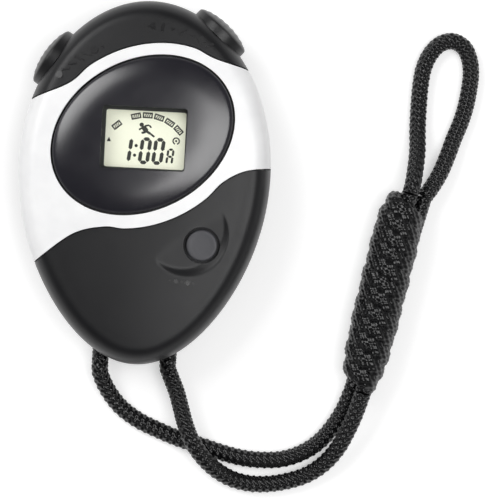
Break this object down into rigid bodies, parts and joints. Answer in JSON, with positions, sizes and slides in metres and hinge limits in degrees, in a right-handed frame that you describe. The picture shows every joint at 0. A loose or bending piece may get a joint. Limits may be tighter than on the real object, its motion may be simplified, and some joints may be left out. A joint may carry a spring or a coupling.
{
  "type": "digital stopwatch",
  "caption": "Egg-shaped pocket digital stopwatch with spring-return thumb buttons, a face button, oval display window, coin-slot battery door and a knotted neck cord.",
  "frame": {"origin": "middle of the flat back, on the surface it lies on", "axes": "+Z out of the display, +Y towards the thumb buttons, +X to the right as the display is read"},
  "size_m": [0.1028, 0.1096, 0.0209],
  "materials": {
    "satin_black": "satin moulded ABS",
    "white_trim": "satin-gloss white ABS",
    "gloss_black": "polished",
    "grey_plastic": "fine satin",
    "clear_window": "clear acrylic",
    "liquid_crystal": "reflective LCD, cream-green",
    "steel": "nickel plated",
    "brass": "bright",
    "board_green": "solder mask",
    "pale_plastic": "natural ABS",
    "rubber": "moulded silicone",
    "epoxy": "epoxy blob",
    "cord": "braided polyester"
  },
  "bodies": {
    "case": {"rear_case": "satin_black", "front_case": "satin_black", "front_trim": "white_trim", "bezel": "gloss_black", "display_window": "clear_window", "lcd_glass": "liquid_crystal", "lcd_reflector": "steel", "lcd_frame": "pale_plastic", "zebra_strip_upper": "rubber", "zebra_strip_lower": "rubber", "circuit_board": "board_green", "controller_chip": "epoxy", "crystal_can": "steel", "capacitor_1": "pale_plastic", "capacitor_2": "pale_plastic", "resistor": "epoxy", "buzzer_disc": "brass", "buzzer_spring_inner": "brass", "buzzer_spring_outer": "brass", "button_cell": "steel", "cell_holder": "pale_plastic", "cell_side_contact": "brass", "cell_end_contact": "brass", "case_screw_1": "steel", "case_screw_2": "steel", "case_screw_3": "steel", "case_screw_4": "steel", "board_screw_1": "steel", "board_screw_2": "steel", "board_screw_3": "steel", "lap_reset_spring": "steel", "lap_reset_contact": "brass", "start_stop_spring": "steel", "start_stop_contact": "brass", "mode_pad": "rubber", "cord_bight": "cord", "cord_strand_left": "cord", "cord_strand_right": "cord", "hand_loop": "cord", "cord_knot": "cord"},
    "start_stop_button": {"start_stop_button": "satin_black", "start_stop_clip": "steel"},
    "lap_reset_button": {"lap_reset_button": "satin_black", "lap_reset_clip": "steel"},
    "mode_button": {"mode_button": "grey_plastic"},
    "battery_door": {"battery_door": "satin_black"}
  },
  "joints": [
    {"name": "start_stop_press", "type": "slide", "parent": "case", "child": "start_stop_button", "axis": [-0.6581, -0.7529, 0], "range_m": [0, 0.0016], "stiffness_N_per_m": 900, "springref_m": -0.0008, "deforming": ["start_stop_spring"]},
    {"name": "lap_reset_press", "type": "slide", "parent": "case", "child": "lap_reset_button", "axis": [0.8475, -0.5308, 0], "range_m": [0, 0.0016], "stiffness_N_per_m": 900, "springref_m": -0.0008, "deforming": ["lap_reset_spring"]},
    {"name": "mode_press", "type": "slide", "parent": "case", "child": "mode_button", "axis": [0, 0, -1], "range_m": [0, 0.0008], "stiffness_N_per_m": 1500, "springref_m": -0.0005, "deforming": ["mode_pad"]},
    {"name": "battery_door_turn", "type": "hinge", "parent": "case", "child": "battery_door", "pos_m": [-0.00596, -0.01595, 0], "axis": [0, 0, -1], "range_deg": [0, 40]}
  ]
}
